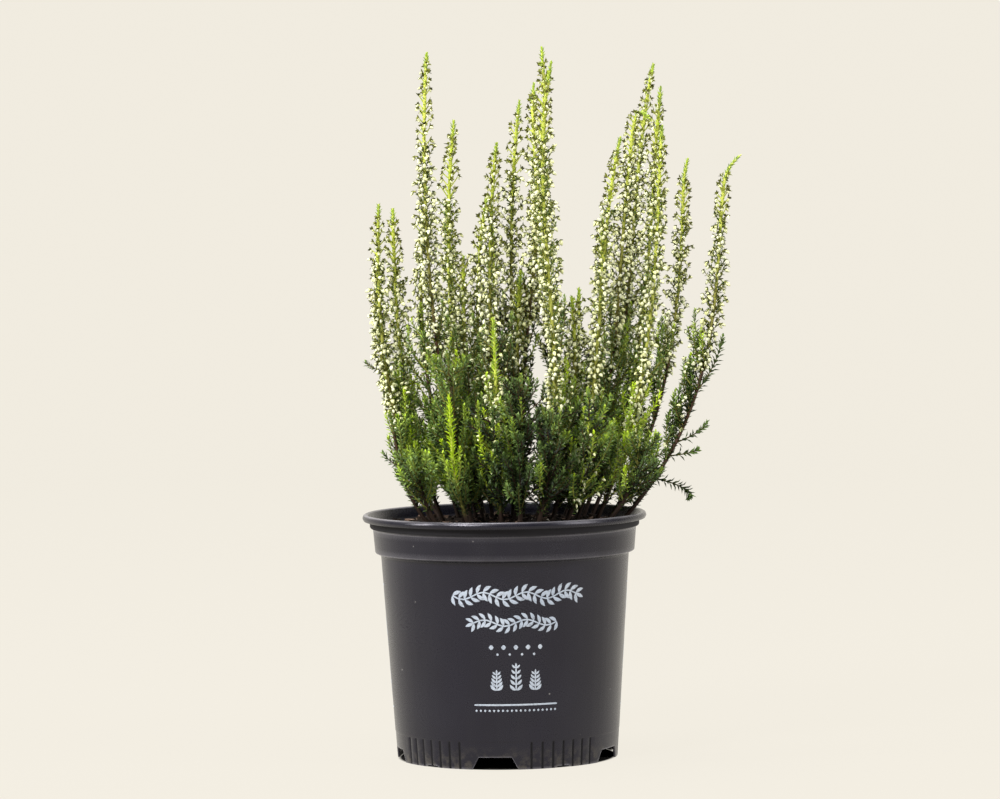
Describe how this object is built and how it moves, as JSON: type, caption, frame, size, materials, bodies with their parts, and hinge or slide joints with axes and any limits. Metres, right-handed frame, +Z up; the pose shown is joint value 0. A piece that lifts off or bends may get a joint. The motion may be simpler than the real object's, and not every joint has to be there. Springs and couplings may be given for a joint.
{
  "type": "potted heather plant",
  "caption": "Bushy young heather plant with upright budding stems over needle-leaved shoots, in a round black nursery pot with a fluted, notched foot.",
  "frame": {"origin": "centre of the pot's foot, on the surface that the pot stands on, on the pot's axis", "axes": "+Z up along the pot's axis, -Y toward the front of the plant as pictured, +X to the right as seen from the front"},
  "size_m": [0.1754, 0.1411, 0.325],
  "materials": {
    "pot_plastic": "satin moulded black plastic",
    "peat": "damp crumbly peat",
    "flowering_stem": "cream buds and lime leaf tips, dull",
    "leafy_stem": "green needle leaves, dull"
  },
  "bodies": {
    "root": {"pot": "pot_plastic", "soil": "peat", "stem_left_edge": "flowering_stem", "stem_left_hidden": "flowering_stem", "stem_left_second": "flowering_stem", "stem_left_tallest": "flowering_stem", "stem_left_inner": "flowering_stem", "stem_left_cluster": "flowering_stem", "stem_centre_front": "flowering_stem", "stem_centre_left": "flowering_stem", "stem_centre_back": "flowering_stem", "stem_centre_short": "flowering_stem", "stem_centre_tallest": "flowering_stem", "stem_centre_lime": "flowering_stem", "stem_centre_right": "flowering_stem", "stem_centre_gap": "flowering_stem", "stem_right_inner": "flowering_stem", "stem_right_hooked": "flowering_stem", "stem_right_tallest": "flowering_stem", "stem_right_back": "flowering_stem", "stem_right_lime": "flowering_stem", "stem_right_outer": "flowering_stem", "stem_right_leaning": "flowering_stem", "stem_front_left_lime": "flowering_stem", "stem_front_lime": "flowering_stem", "stem_front_right_lime": "flowering_stem", "stem_front_left_dark": "leafy_stem", "stem_front_dark": "leafy_stem", "stem_front_centre_dark": "leafy_stem", "stem_low_right": "leafy_stem", "stem_low_left": "leafy_stem", "stem_low_left_front": "leafy_stem", "stem_back_left": "flowering_stem", "stem_back_left_outer": "flowering_stem", "stem_back_centre": "flowering_stem", "stem_back_right_tall": "flowering_stem", "stem_back_inner": "flowering_stem", "stem_back_right": "flowering_stem", "stem_low_back_right": "leafy_stem", "stem_low_back_left": "leafy_stem", "stem_low_left_back": "leafy_stem", "stem_low_right_back": "leafy_stem"}
  },
  "joints": []
}
